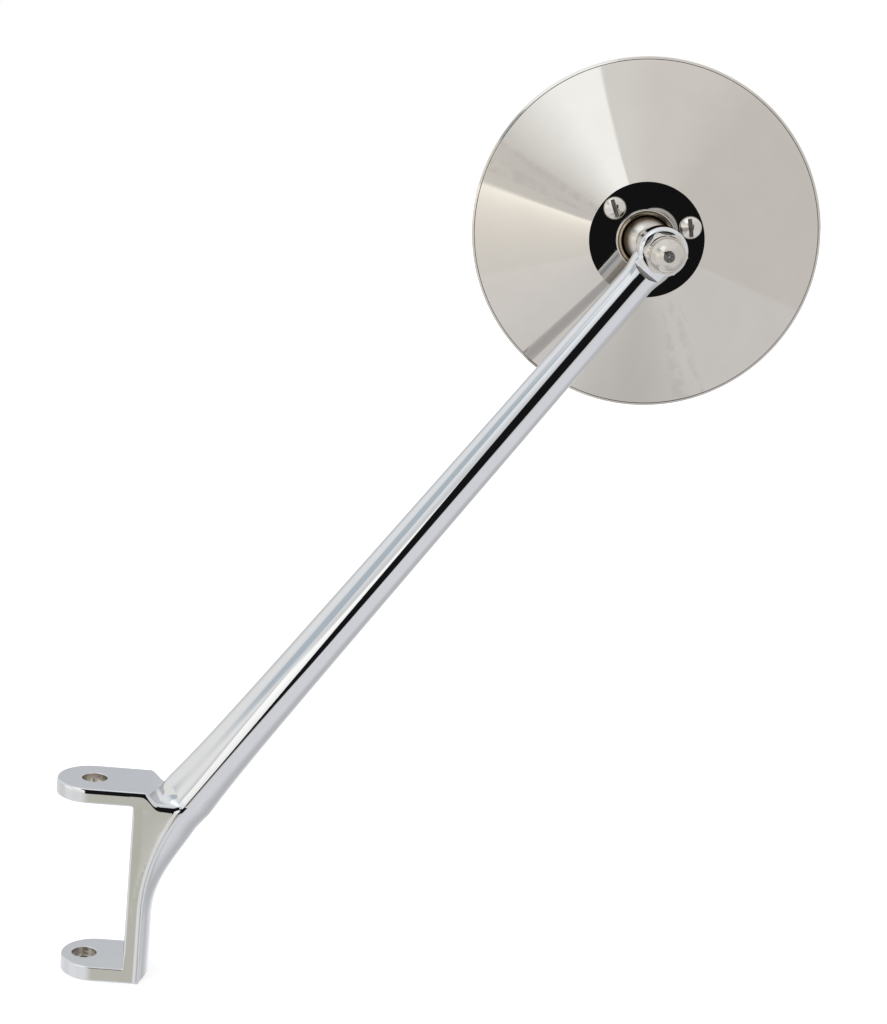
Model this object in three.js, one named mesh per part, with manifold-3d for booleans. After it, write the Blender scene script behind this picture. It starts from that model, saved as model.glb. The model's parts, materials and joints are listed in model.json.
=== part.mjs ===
// Round side mirror on a one-piece arm that hangs on a door hinge pin.
// Millimetres, +Z up along the hinge pin, +X from the pin to the arm, the glass faces +Y.
// The origin is on the hinge-pin axis, level with the top face of the lower ear.
import * as THREE from 'three';
import { mergeVertices } from 'three/addons/utils/BufferGeometryUtils.js';
import Module from 'manifold-3d';

const wasm = await Module();
wasm.setup();

// ---- Driving dimensions -------------------------------------------------------------
const GAP = 0.3;                 // clearance between two pieces that meet
const THROUGH = 1;               // how far a cutting tool runs past a face
const TURN_SIDES = 28;           // facets round a small turned piece
const RIM_SIDES = 64;            // facets round the pieces at the rim
const EYE_SIDES = 36;            // facets round the eye, the nut and the retainer plate
const HOLE_SIDES = 16;           // facets round the screws' holes and nuts

// bracket
const EAR_GAP = 61.2;            // clear height between the two ears, for the hinge knuckles
const EAR_THICK = 5.3;
const HALF_DEPTH = 12.5;         // half of the bracket's depth along Y
const PIN_R = 4.4;               // hinge-pin hole
const UPPER_TIP = 13.2;          // pin axis to the tip of the upper ear
const LOWER_TIP = 8.2;           // pin axis to the tip of the lower ear
const LOWER_HOLE_DEPTH = 1.8;    // the lower hole is blind, with a small drain hole in its floor
const DRAIN_R = 1.2;
const WEB_INNER_X = 15;
const RIDGE_X = 20.1;            // front and back corners of the web's outer face
const EDGE_ROUND = 0.7;
const POCKET_DEPTH = 0.6;        // dished panel on both sides of the web
const SHOULDER_X = 19.3;         // where the upper ear ends and the valley before the arm starts

// arm
const ARM_ANGLE = THREE.MathUtils.degToRad(54.8);   // above horizontal
const ARM_BEND_R = 70;           // bend of the web's outer corner into the arm
const EYE = new THREE.Vector3(179, 0, 269.1);
const EYE_R = 8.5;
const EYE_HALF = 5;
const SPOT_FACE_R = 9.9;         // milled seat around the eye, on both sides
const EYE_BORE_R = 4.3;
const ARM_BASE_HALF = 8.7;       // half width of the arm's section where it leaves the bracket
const ARM_TOP_HALF = 6.2;
const ARM_TOP_DEPTH = 6.4;
const WEB_BULGE = 2.5;           // crown of the web's outer face

// ball stud, washer and nut, all on the eye's axis along Y
const BALL_Y = 41.9;             // from the arm's mid-plane to the middle of the ball
const BALL_R = 9.5;
const NECK_R = 4.6;
const COLLAR_R = 6.8;
const COLLAR_LONG = 2.2;
const NECK_TAPER = 2.3;          // length of the cone between collar and neck
const THREAD_R = 4;
const THREAD_END = -14.2;
const THREAD_CHAMFER = 0.8;
const WASHER_R = 6.3;
const WASHER_THICK = 1.2;
const SPLIT_WIDE = 0.8;
const SPLIT_TURN = 0.6;          // radians about the stud, where the washer is split
const NUT_FLATS = 13;            // across flats
const NUT_TURN = THREE.MathUtils.degToRad(-3);
const HEX_HEIGHT = 5.2;
const HEX_CHAMFER = 0.55;
const DOME_R = 5.8;
const DOME_NECK = 2;

// head, on its own axis y through the middle of the ball, with the glass towards +y
const HEAD_TURN = THREE.MathUtils.degToRad(-5.7);
const HEAD_NOD = THREE.MathUtils.degToRad(0.5);
const RIM_R = 63.5;
const SHELL_THICK = 0.8;
const FLAT_Y = -3;               // outer face of the flat
const FLAT_R = 20.5;
const SHELL_EDGE_R = 62.6;
const CONE_END_Y = 19.6;
const FLANGE_END_Y = 22.2;
const LIP_R = 10.6;              // rolled lip round the ball hole
const LIP_HIGH = 1.5;
const LIP_ROUND = 0.6;
const GLASS_R = 61.2;
const GLASS_Y = [21.6, 24.1];
const PAD_R = 59.5;
const PAD_THICK = 1.2;
const BEZEL_LIP_R = 60;
const BEZEL_THICK = 0.6;
const BEZEL_ROUND = 0.6;         // round of the front edge
const BEZEL_CHAMFER = 0.3;       // cut of the back edge
const SILVER_MARGIN = 0.4;       // the silvering stops this far short of the glass's edge
const SCREW_CIRCLE = 16;
const SCREW_ANGLES = [140.9, 21.5, 261.2];          // from +x towards +z, in degrees
const SLOT_ANGLES = [112.9, 101.8, 30];
const SCREW_HEAD_R = 4;
const SCREW_HEAD_HIGH = 2.6;
const SCREW_SHANK_R = 2;
const SCREW_POINT = 0.6;         // chamfer of the shank's end
const SCREW_END_Y = 6.4;
const PLATE_Y = [-0.2, 1.4];
const PLATE_R = 19.3;
const CUP_WALL_R = [11.6, 12.4];
const LINER_R = [9.8, 10.5];      // thin cap between the ball and its seat
const LINER_ANGLE = THREE.MathUtils.degToRad(70);   // how far the liner wraps round the ball
const CUP_FLOOR_Y = [13.1, 14.3];
const SEAT_BACK_Y = 11.5;
const SEAT_ANGLE = THREE.MathUtils.degToRad(74);    // how far the seat wraps round the liner
const NUT_BODY_R = 3.3;
const NUT_BODY_LONG = 4;
const NUT_BODY_CHAMFER = 0.5;

// ---- Materials ----------------------------------------------------------------------
const finish = (color, roughness, metalness) =>
  () => new THREE.MeshStandardMaterial({ color, roughness, metalness });
const chrome = finish(0xd3d6da, 0.05, 1);
const stainless = finish(0xc4c0ba, 0.12, 1);
const zincSteel = finish(0xb4b2a8, 0.35, 1);
const springSteel = finish(0x54565a, 0.4, 1);
const acetal = finish(0xe6e3da, 0.45, 0);
const glass = finish(0xdfe8e6, 0.02, 0);
const silver = finish(0xe4e6e8, 0.03, 1);
const rubber = finish(0x1b1b1c, 0.7, 0);
const fibre = finish(0x4a4640, 0.9, 0);

// ---- Geometry helpers ---------------------------------------------------------------
const group = new THREE.Group();

function addPart(parent, name, geometry, material) {
  const mesh = new THREE.Mesh(geometry, material());
  mesh.name = name;
  parent.add(mesh);
}

function solid(geometry) {
  const bare = geometry.clone();
  for (const key of Object.keys(bare.attributes)) {
    if (key !== 'position') bare.deleteAttribute(key);
  }
  const merged = mergeVertices(bare, 1e-4);
  const index = merged.index.array;
  const triVerts = [];
  for (let i = 0; i < index.length; i += 3) {
    const [a, b, c] = index.slice(i, i + 3);
    if (a !== b && b !== c && c !== a) triVerts.push(a, b, c);
  }
  return new wasm.Manifold(new wasm.Mesh({
    numProp: 3,
    vertProperties: new Float32Array(merged.attributes.position.array),
    triVerts: new Uint32Array(triVerts),
  }));
}

function geometryOf(body) {
  const mesh = body.getMesh();
  const geometry = new THREE.BufferGeometry();
  geometry.setAttribute('position', new THREE.BufferAttribute(mesh.vertProperties, 3));
  geometry.setIndex(new THREE.BufferAttribute(mesh.triVerts, 1));
  return geometry;
}

const join = (...bodies) => bodies.reduce((sum, body) => sum.add(body));
const cut = (body, ...tools) => tools.reduce((rest, tool) => rest.subtract(tool), body);
const points = (pairs) => pairs.map(([r, y]) => new THREE.Vector2(r, y));

// A turned piece about the Y axis, from an outline of [radius, y] pairs in either direction. The
// outline starts and ends on the axis, or closes on itself.
function turned(pairs, segments = TURN_SIDES) {
  const outline = points(pairs);
  if (THREE.ShapeUtils.area(outline) < 0) outline.reverse();
  return new THREE.LatheGeometry(outline, segments);
}

// A rod along Y between two values of y, centred on (x, z).
function rodY(radius, y0, y1, x = 0, z = 0, segments = TURN_SIDES) {
  const rod = new THREE.CylinderGeometry(radius, radius, Math.abs(y1 - y0), segments);
  return rod.translate(x, (y0 + y1) / 2, z);
}

// A rod along Z between two heights, centred on the hinge-pin axis.
function rodZ(radius, z0, z1, segments = TURN_SIDES) {
  const rod = new THREE.CylinderGeometry(radius, radius, z1 - z0, segments).rotateX(Math.PI / 2);
  return rod.translate(0, 0, (z0 + z1) / 2);
}

// An outline in the XZ plane, given thickness along Y.
function plateXZ(shape, y0, y1, segments = 8) {
  const plate = new THREE.ExtrudeGeometry(shape, {
    depth: y1 - y0, bevelEnabled: false, curveSegments: segments,
  });
  return plate.rotateX(Math.PI / 2).translate(0, y1, 0);
}

function arcPoints(radius, from, to, steps, centreY = 0) {
  return Array.from({ length: steps + 1 }, (_, i) => {
    const angle = from + (to - from) * i / steps;
    return [radius * Math.sin(angle), centreY + radius * Math.cos(angle)];
  });
}

const ease = (t) => THREE.MathUtils.smoothstep(t, 0, 1);
const mix = THREE.MathUtils.lerp;

// ---- Bracket and arm, one casting -----------------------------------------------------
const armDir = new THREE.Vector2(Math.cos(ARM_ANGLE), Math.sin(ARM_ANGLE));

// The ridge is the corner line between the web's side and its outer face. It climbs the web,
// bends through an arc and runs on as the arm's front line, straight to the eye.
const bendAngle = Math.PI / 2 - ARM_ANGLE;
const eyeXZ = new THREE.Vector2(EYE.x, EYE.z);
const cornerZ = EYE.z - (EYE.x - RIDGE_X) * Math.tan(ARM_ANGLE);
const bendStart = cornerZ - ARM_BEND_R * Math.tan(bendAngle / 2);
const bendLength = ARM_BEND_R * bendAngle;
const straightStart = new THREE.Vector2(
  RIDGE_X + ARM_BEND_R * (1 - Math.cos(bendAngle)), bendStart + ARM_BEND_R * Math.sin(bendAngle));
const ridgeLength = bendStart + bendLength + straightStart.distanceTo(eyeXZ);

// Point and direction of the ridge at distance s from the level of the lower ear's top face.
function ridgeAt(s) {
  if (s <= bendStart) return { point: new THREE.Vector2(RIDGE_X, s), angle: Math.PI / 2 };
  const turn = (s - bendStart) / ARM_BEND_R;
  if (turn < bendAngle) {
    const x = RIDGE_X + ARM_BEND_R * (1 - Math.cos(turn));
    return {
      point: new THREE.Vector2(x, bendStart + ARM_BEND_R * Math.sin(turn)),
      angle: Math.PI / 2 - turn,
    };
  }
  const along = s - bendStart - bendLength;
  return { point: straightStart.clone().addScaledVector(armDir, along), angle: ARM_ANGLE };
}

// Section of the arm at distance s: its outer and inner half widths, half depth and how pointed
// its front and back are (2 = a sharp ridge, 1 = an ellipse).
const BULGE_SPAN = [16, 56];
const INNER_SPAN = [44, 78];
const TAPER_SPAN = [66, ridgeLength - 10];
const POINT_SPAN = [72, 205];
const HIDDEN_HALF = 3;           // the rib's reach into the web
function armSection(s) {
  const taper = THREE.MathUtils.clamp((s - TAPER_SPAN[0]) / (TAPER_SPAN[1] - TAPER_SPAN[0]), 0, 1);
  const half = mix(ARM_BASE_HALF, ARM_TOP_HALF, taper);
  const bulge = ease((s - BULGE_SPAN[0]) / (BULGE_SPAN[1] - BULGE_SPAN[0]));
  const inner = ease((s - INNER_SPAN[0]) / (INNER_SPAN[1] - INNER_SPAN[0]));
  return {
    outer: mix(WEB_BULGE, half, bulge),
    inner: mix(HIDDEN_HALF, half, inner),
    depth: mix(HALF_DEPTH, ARM_TOP_DEPTH, Math.sin(taper * Math.PI / 2)),
    power: 2 - ease((s - POINT_SPAN[0]) / (POINT_SPAN[1] - POINT_SPAN[0])),
  };
}

// The rib and arm: a cylinder's grid of vertices laid along the ridge, section by section.
function armSweep() {
  const RIB_SIDES = 20;
  const RIB_STEPS = 30;
  const start = -EAR_THICK;
  const sweep = new THREE.CylinderGeometry(1, 1, 1, RIB_SIDES, RIB_STEPS);
  const position = sweep.attributes.position;
  for (let i = 0; i < position.count; i++) {
    const s = mix(start, ridgeLength, position.getY(i) + 0.5);
    const across = position.getX(i);
    const forward = position.getZ(i);
    const { point, angle } = ridgeAt(s);
    const section = armSection(s);
    const reach = Math.min(1, Math.hypot(across, forward));
    const side = across >= 0 ? section.outer : -section.inner;
    const v = reach * side * Math.abs(across) ** section.power;
    const x = point.x + v * Math.sin(angle);
    const z = point.y - v * Math.cos(angle);
    position.setXYZ(i, x, -forward * section.depth, z);
  }
  return sweep;
}

// The web between the ears, up to the valley where the arm leaves the bracket.
function webShape() {
  const BOTTOM_S = bendStart - 4;
  const TOP_S = 62;
  const STEPS = 12;
  const valley = [[31.2, 66], [28.6, 64], [26, 62.8], [23.4, 62.8], [21.2, 64.4]];
  const shape = new THREE.Shape();
  shape.moveTo(WEB_INNER_X, -EAR_THICK / 2);
  shape.lineTo(RIDGE_X, -EAR_THICK / 2);
  for (let i = 0; i <= STEPS; i++) {
    const { point } = ridgeAt(mix(BOTTOM_S, TOP_S, i / STEPS));
    shape.lineTo(point.x, point.y);
  }
  shape.splineThru(points([...valley, [SHOULDER_X, EAR_GAP + EAR_THICK]]));
  shape.lineTo(WEB_INNER_X, EAR_GAP + EAR_THICK);
  shape.closePath();
  return shape;
}

// Shallow panel between the inner edge and the rib.
function pocketShape() {
  const INNER_X = 17.2;
  const TOP_Z = 58.4;
  const ribSide = [[18.4, 30.5], [20.7, 39.7], [24.4, 47.5], [28.5, 54.5]];
  const shape = new THREE.Shape();
  shape.moveTo(INNER_X, 20);
  shape.splineThru(points(ribSide));
  shape.lineTo(27, TOP_Z);
  shape.lineTo(INNER_X, TOP_Z);
  shape.closePath();
  return shape;
}

// An ear: a plate with one round end, its edges rounded over.
function ear(tip, endX, z0) {
  const radius = HALF_DEPTH - EDGE_ROUND;
  const centreX = HALF_DEPTH - tip;
  const shape = new THREE.Shape();
  shape.moveTo(endX, -radius);
  shape.lineTo(endX, radius);
  shape.lineTo(centreX, radius);
  shape.absarc(centreX, 0, radius, Math.PI / 2, Math.PI * 1.5, false);
  shape.closePath();
  const plate = new THREE.ExtrudeGeometry(shape, {
    depth: EAR_THICK - 2 * EDGE_ROUND, bevelEnabled: true, bevelThickness: EDGE_ROUND,
    bevelSize: EDGE_ROUND, bevelSegments: 2, curveSegments: 12,
  });
  return plate.translate(0, 0, z0 + EDGE_ROUND);
}

// The eye's boss, with rounded edges.
function eyeBoss() {
  const ROUND = 0.9;
  const edge = EYE_R - ROUND;
  const side = EYE_HALF - ROUND;
  const [r, y] = [edge + ROUND * Math.SQRT1_2, side + ROUND * Math.SQRT1_2];
  const boss = turned([
    [0, -EYE_HALF], [edge, -EYE_HALF], [r, -y], [EYE_R, -side],
    [EYE_R, side], [r, y], [edge, EYE_HALF], [0, EYE_HALF],
  ], EYE_SIDES);
  return boss.translate(EYE.x, 0, EYE.z);
}

function armBracket() {
  const earTop = EAR_GAP + EAR_THICK;
  const earsEnd = RIDGE_X - EDGE_ROUND;
  const web = solid(plateXZ(webShape(), -HALF_DEPTH, HALF_DEPTH));
  const pockets = [-1, 1].map((side) => {
    const floor = side * (HALF_DEPTH - POCKET_DEPTH);
    const past = side * (HALF_DEPTH + THROUGH);
    return solid(plateXZ(pocketShape(), Math.min(floor, past), Math.max(floor, past)));
  });
  const seats = [-1, 1].map((side) => {
    const face = side * EYE_HALF;
    const past = side * (ARM_TOP_DEPTH + THROUGH);
    const [y0, y1] = [Math.min(face, past), Math.max(face, past)];
    return solid(rodY(SPOT_FACE_R, y0, y1, EYE.x, EYE.z, EYE_SIDES));
  });
  const body = join(
    cut(web, ...pockets), cut(solid(armSweep()), ...seats), solid(eyeBoss()),
    solid(ear(UPPER_TIP, SHOULDER_X - EDGE_ROUND, EAR_GAP)),
    solid(ear(LOWER_TIP, earsEnd, -EAR_THICK)));
  return geometryOf(cut(body,
    solid(rodZ(PIN_R, EAR_GAP - THROUGH, earTop + THROUGH)),
    solid(rodZ(PIN_R, -LOWER_HOLE_DEPTH, THROUGH)),
    solid(rodZ(DRAIN_R, -EAR_THICK - THROUGH, THROUGH, HOLE_SIDES)),
    solid(rodY(EYE_BORE_R, -EYE_HALF - THROUGH, EYE_HALF + THROUGH, EYE.x, EYE.z))));
}

// ---- Stud, washer and nut -------------------------------------------------------------
function ballStud() {
  const neckAngle = Math.asin(NECK_R / BALL_R);
  const ball = arcPoints(BALL_R, 0, Math.PI - neckAngle, 12, BALL_Y);
  const collar = EYE_HALF + GAP;
  const collarEnd = collar + COLLAR_LONG;
  return turned([
    ...ball, [NECK_R, collarEnd + NECK_TAPER], [COLLAR_R, collarEnd], [COLLAR_R, collar],
    [THREAD_R, collar], [THREAD_R, THREAD_END + THREAD_CHAMFER],
    [THREAD_R - THREAD_CHAMFER, THREAD_END], [0, THREAD_END],
  ]);
}

const washerFace = -EYE_HALF - GAP;
const nutFace = washerFace - WASHER_THICK - GAP;

function lockWasher() {
  const inner = THREAD_R + GAP;
  const back = washerFace - WASHER_THICK;
  const ring = turned([[inner, back], [WASHER_R, back], [WASHER_R, washerFace],
    [inner, washerFace], [inner, back]]);
  const slit = new THREE.BoxGeometry(WASHER_R, 3 * WASHER_THICK, SPLIT_WIDE);
  const middle = (inner + WASHER_R) / 2;
  slit.translate(middle, washerFace - WASHER_THICK / 2, 0).rotateY(SPLIT_TURN);
  return geometryOf(cut(solid(ring), solid(slit)));
}

function domeNut() {
  const corner = NUT_FLATS / Math.sqrt(3);
  const front = nutFace - HEX_HEIGHT;
  const domeCentre = front - DOME_NECK;
  const hexagon = new THREE.CylinderGeometry(corner, corner, HEX_HEIGHT, 6);
  hexagon.rotateY(Math.PI / 2 - NUT_TURN).translate(0, nutFace - HEX_HEIGHT / 2, 0);
  const MARGIN = 0.1;
  const rounded = turned([
    [0, front], [NUT_FLATS / 2 - MARGIN, front], [corner + MARGIN, front + HEX_CHAMFER],
    [corner + MARGIN, nutFace], [0, nutFace],
  ], EYE_SIDES);
  const dome = turned([
    ...arcPoints(DOME_R, Math.PI, Math.PI / 2, 7, domeCentre), [DOME_R, front + THROUGH],
    [0, front + THROUGH],
  ]);
  const bore = rodY(THREAD_R + GAP, THREAD_END - GAP, nutFace + THROUGH);
  return geometryOf(cut(join(solid(hexagon).intersect(solid(rounded)), solid(dome)), solid(bore)));
}

// ---- Head -----------------------------------------------------------------------------
const coneSlope = Math.atan2(CONE_END_Y - FLAT_Y, SHELL_EDGE_R - FLAT_R);
const screwSpots = SCREW_ANGLES.map((degrees) => {
  const angle = THREE.MathUtils.degToRad(degrees);
  return [SCREW_CIRCLE * Math.cos(angle), SCREW_CIRCLE * Math.sin(angle)];
});

// Shallow cone with a flat middle, a rolled lip round the ball and a short flange at the rim.
function headShell() {
  const socket = BALL_R + GAP;
  const inside = FLAT_Y + SHELL_THICK;
  const crest = FLAT_Y - LIP_HIGH;
  const lipInner = crest + LIP_ROUND;
  const lipFoot = 0.2;
  const socketR = (y) => Math.sqrt(socket ** 2 - y ** 2);
  const bend = SHELL_THICK * Math.tan(coneSlope / 2);
  const outer = [
    [socketR(inside), inside], [socketR(FLAT_Y), FLAT_Y], [socketR(lipInner), lipInner],
    [socketR(lipInner) + LIP_ROUND / 2, crest], [LIP_R - LIP_ROUND, crest],
    [LIP_R, crest + LIP_ROUND], [LIP_R + lipFoot, FLAT_Y], [FLAT_R, FLAT_Y],
    [SHELL_EDGE_R, CONE_END_Y], [SHELL_EDGE_R, FLANGE_END_Y],
  ];
  const flangeInner = SHELL_EDGE_R - SHELL_THICK;
  const coneInnerY = CONE_END_Y + SHELL_THICK * Math.tan(Math.PI / 4 - coneSlope / 2);
  const inner = [[flangeInner, FLANGE_END_Y], [flangeInner, coneInnerY], [FLAT_R - bend, inside]];
  const shell = solid(turned([...outer, ...inner, outer[0]], RIM_SIDES));
  const holes = screwSpots.map(([x, z]) =>
    solid(rodY(SCREW_SHANK_R + GAP, FLAT_Y - THROUGH, inside + THROUGH, x, z, HOLE_SIDES)));
  return geometryOf(cut(shell, ...holes));
}

function clampScrew(slotDegrees) {
  const seat = FLAT_Y - GAP;
  const HEAD_SIDE = 0.7;
  const SLOT_WIDE = 1.3;
  const SLOT_DEEP = 1.2;
  const crownR = (SCREW_HEAD_R ** 2 + (SCREW_HEAD_HIGH - HEAD_SIDE) ** 2)
    / (2 * (SCREW_HEAD_HIGH - HEAD_SIDE));
  const crownAngle = Math.asin(SCREW_HEAD_R / crownR);
  const crownCentre = seat - SCREW_HEAD_HIGH + crownR;
  const crown = arcPoints(crownR, Math.PI, Math.PI - crownAngle, 4, crownCentre);
  const body = turned([
    ...crown, [SCREW_HEAD_R, seat], [SCREW_SHANK_R, seat],
    [SCREW_SHANK_R, SCREW_END_Y - SCREW_POINT], [SCREW_SHANK_R - SCREW_POINT, SCREW_END_Y],
    [0, SCREW_END_Y],
  ], 20);
  const slot = new THREE.BoxGeometry(3 * SCREW_HEAD_R, 2 * SLOT_DEEP, SLOT_WIDE);
  slot.rotateY(-THREE.MathUtils.degToRad(slotDegrees)).translate(0, seat - SCREW_HEAD_HIGH, 0);
  return geometryOf(cut(solid(body), solid(slot)));
}

function clinchNut() {
  const bore = SCREW_SHANK_R + GAP;
  const near = PLATE_Y[1] + GAP;
  const far = near + NUT_BODY_LONG;
  return turned([[bore, near], [NUT_BODY_R, near], [NUT_BODY_R, far - NUT_BODY_CHAMFER],
    [NUT_BODY_R - NUT_BODY_CHAMFER, far], [bore, far], [bore, near]], HOLE_SIDES);
}

// Pressed plate: a flange that the screws pull, and a deep cup that holds the ball's seat.
function retainerPlate() {
  const [wallIn, wallOut] = CUP_WALL_R;
  const plate = solid(turned([
    [0, CUP_FLOOR_Y[0]], [wallIn, CUP_FLOOR_Y[0]], [wallIn, PLATE_Y[0]], [PLATE_R, PLATE_Y[0]],
    [PLATE_R, PLATE_Y[1]], [wallOut, PLATE_Y[1]], [wallOut, CUP_FLOOR_Y[1]], [0, CUP_FLOOR_Y[1]],
  ], EYE_SIDES));
  const [y0, y1] = [PLATE_Y[0] - THROUGH, PLATE_Y[1] + THROUGH];
  const holes = screwSpots.map(([x, z]) =>
    solid(rodY(SCREW_SHANK_R + GAP, y0, y1, x, z, HOLE_SIDES)));
  return geometryOf(cut(plate, ...holes));
}

function ballLiner() {
  const [inner, outer] = LINER_R;
  return turned([
    ...arcPoints(inner, 0, LINER_ANGLE, 8), ...arcPoints(outer, 0, LINER_ANGLE, 8).reverse(),
  ]);
}

function ballSeat() {
  const outerR = CUP_WALL_R[0] - GAP;
  const hollow = arcPoints(LINER_R[1] + GAP, 0, SEAT_ANGLE, 8);
  const edgeY = hollow.at(-1)[1];
  return turned([...hollow, [outerR, edgeY], [outerR, SEAT_BACK_Y], [0, SEAT_BACK_Y]]);
}

// Conical washer that pushes the seat against the ball.
function discSpring() {
  const near = SEAT_BACK_Y + GAP;
  const far = CUP_FLOOR_Y[0] - GAP;
  const THICK = 0.7;
  const INNER = 3.5;
  const OUTER = 10;
  return turned([[INNER, near], [OUTER, far - THICK], [OUTER, far], [INNER, near + THICK],
    [INNER, near]]);
}

function disc(radius, y0, y1) {
  return turned([[0, y0], [radius, y0], [radius, y1], [0, y1]], RIM_SIDES);
}

function glassGasket() {
  const [inner, outer] = [GLASS_R + GAP, SHELL_EDGE_R];
  const y0 = FLANGE_END_Y + GAP;
  return turned([[inner, y0], [outer, y0], [outer, GLASS_Y[1]], [inner, GLASS_Y[1]], [inner, y0]],
    RIM_SIDES);
}

// Thin ring over the shell's edge, turned in over the front of the glass.
function rimBezel() {
  const innerWall = SHELL_EDGE_R + GAP;
  const lipBack = GLASS_Y[1] + GAP;
  const front = lipBack + BEZEL_THICK;
  const start = CONE_END_Y;
  return turned([
    [innerWall, start], [RIM_R - BEZEL_CHAMFER, start], [RIM_R, start + BEZEL_CHAMFER],
    [RIM_R, front - BEZEL_ROUND], [RIM_R - BEZEL_ROUND, front], [BEZEL_LIP_R, front],
    [BEZEL_LIP_R, lipBack], [innerWall, lipBack], [innerWall, start],
  ], RIM_SIDES);
}

// ---- Assembly ---------------------------------------------------------------------------
const stem = new THREE.Group();
stem.position.copy(EYE);
const head = new THREE.Group();
head.position.set(EYE.x, BALL_Y, EYE.z);
head.rotation.set(HEAD_NOD, 0, HEAD_TURN);
group.add(stem, head);

addPart(group, 'arm_bracket', armBracket(), chrome);
addPart(stem, 'ball_stud', ballStud(), stainless);
addPart(stem, 'lock_washer', lockWasher(), zincSteel);
addPart(stem, 'dome_nut', domeNut(), stainless);

addPart(head, 'head_shell', headShell(), stainless);
addPart(head, 'rim_bezel', rimBezel(), stainless);
addPart(head, 'retainer_plate', retainerPlate(), zincSteel);
addPart(head, 'ball_liner', ballLiner(), acetal);
addPart(head, 'ball_seat', ballSeat(), acetal);
addPart(head, 'disc_spring', discSpring(), springSteel);
screwSpots.forEach(([x, z], i) => {
  const place = new THREE.Group();
  place.position.set(x, 0, z);
  head.add(place);
  addPart(place, `clamp_screw_${i + 1}`, clampScrew(SLOT_ANGLES[i]), stainless);
  addPart(place, `clinch_nut_${i + 1}`, clinchNut(), zincSteel);
});

const SILVER_THICK = 0.3;
const silverY = GLASS_Y[0] - GAP;
const padY = silverY - SILVER_THICK - GAP;
addPart(head, 'mirror_glass', disc(GLASS_R, ...GLASS_Y), glass);
addPart(head, 'mirror_silvering', disc(GLASS_R - SILVER_MARGIN, padY + GAP, silverY), silver);
addPart(head, 'glass_pad', disc(PAD_R, padY - PAD_THICK, padY), fibre);
addPart(head, 'glass_gasket', glassGasket(), rubber);

export default group;
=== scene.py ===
"""Round car mirror on a chromed hinge-pin arm: the looks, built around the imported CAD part.

Blender objects are in metres, +Z up along the hinge pin, the glass towards +Y. Shapes are worked
out in millimetres: the cast and cut pieces from distance fields, the turned ones from outlines.
"""

import json
import math

import bpy
import numpy as np
from mathutils import Matrix, Vector


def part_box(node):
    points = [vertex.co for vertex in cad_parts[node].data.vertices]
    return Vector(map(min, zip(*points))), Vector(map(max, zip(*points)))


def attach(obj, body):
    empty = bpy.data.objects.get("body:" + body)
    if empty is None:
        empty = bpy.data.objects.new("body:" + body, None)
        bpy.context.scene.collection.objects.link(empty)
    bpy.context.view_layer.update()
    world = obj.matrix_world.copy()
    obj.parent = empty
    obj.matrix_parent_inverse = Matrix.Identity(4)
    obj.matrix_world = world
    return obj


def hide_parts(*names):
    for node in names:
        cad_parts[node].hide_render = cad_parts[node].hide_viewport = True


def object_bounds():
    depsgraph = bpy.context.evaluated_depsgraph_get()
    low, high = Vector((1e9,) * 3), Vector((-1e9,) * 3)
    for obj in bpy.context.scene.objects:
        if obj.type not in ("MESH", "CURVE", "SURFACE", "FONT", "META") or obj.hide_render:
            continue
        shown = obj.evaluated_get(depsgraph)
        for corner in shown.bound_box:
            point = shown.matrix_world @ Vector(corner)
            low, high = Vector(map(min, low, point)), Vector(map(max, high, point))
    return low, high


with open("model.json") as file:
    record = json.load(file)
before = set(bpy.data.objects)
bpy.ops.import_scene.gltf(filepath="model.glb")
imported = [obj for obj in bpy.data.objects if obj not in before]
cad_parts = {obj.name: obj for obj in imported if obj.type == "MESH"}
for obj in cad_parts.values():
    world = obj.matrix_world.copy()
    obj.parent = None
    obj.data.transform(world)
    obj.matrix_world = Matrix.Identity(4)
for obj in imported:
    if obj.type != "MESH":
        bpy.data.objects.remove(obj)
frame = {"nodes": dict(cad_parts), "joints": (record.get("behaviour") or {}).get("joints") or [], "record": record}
cad_low, cad_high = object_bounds()

MM = 0.001

# ---- Places and sizes read from the frame ---------------------------------------------------
joints = {j["name"]: j for j in frame["joints"]}
mounts = {m["name"]: Vector(m["pos_m"]) / MM for m in frame["record"]["mounts"]}
EYE = Vector(joints["stud_turn"]["pos_m"])
BALL = Vector(joints["head_pan"]["pos_m"])
HEAD_Z = Vector(joints["head_pan"]["axis"]).normalized()
HEAD_Y = HEAD_Z.cross(Vector(joints["head_tilt"]["axis"])).normalized()
HEAD_X = HEAD_Y.cross(HEAD_Z)


def placed(origin, x_axis, y_axis, z_axis):
    """Matrix of a piece whose own axes are the three given ones."""
    matrix = Matrix((x_axis, y_axis, z_axis)).transposed().to_4x4()
    matrix.translation = origin
    return matrix


HEAD = placed(BALL, HEAD_X, HEAD_Y, HEAD_Z)
STEM = Matrix.Translation(EYE)
WORLD = Matrix.Identity(4)


def node_points(node, place):
    """A CAD node's vertices in the axes of a placement, in millimetres."""
    cad = frame["nodes"][node]
    co = np.zeros(len(cad.data.vertices) * 3)
    cad.data.vertices.foreach_get("co", co)
    inverse = np.array(place.inverted())
    return (co.reshape(-1, 3) @ inverse[:3, :3].T + inverse[:3, 3]) / MM


def turned_size(node, place):
    """Largest radius about the placement's y axis, and lowest and highest y, in millimetres."""
    p = node_points(node, place)
    return np.hypot(p[:, 0], p[:, 2]).max(), p[:, 1].min(), p[:, 1].max()


# ---- Distance fields ------------------------------------------------------------------------
def ramp(value, start, end):
    """0 before start, 1 after end, smooth in between."""
    t = np.clip((value - start) / (end - start), 0, 1)
    return t * t * (3 - 2 * t)


def mix(a, b, t):
    return a + (b - a) * t


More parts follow.
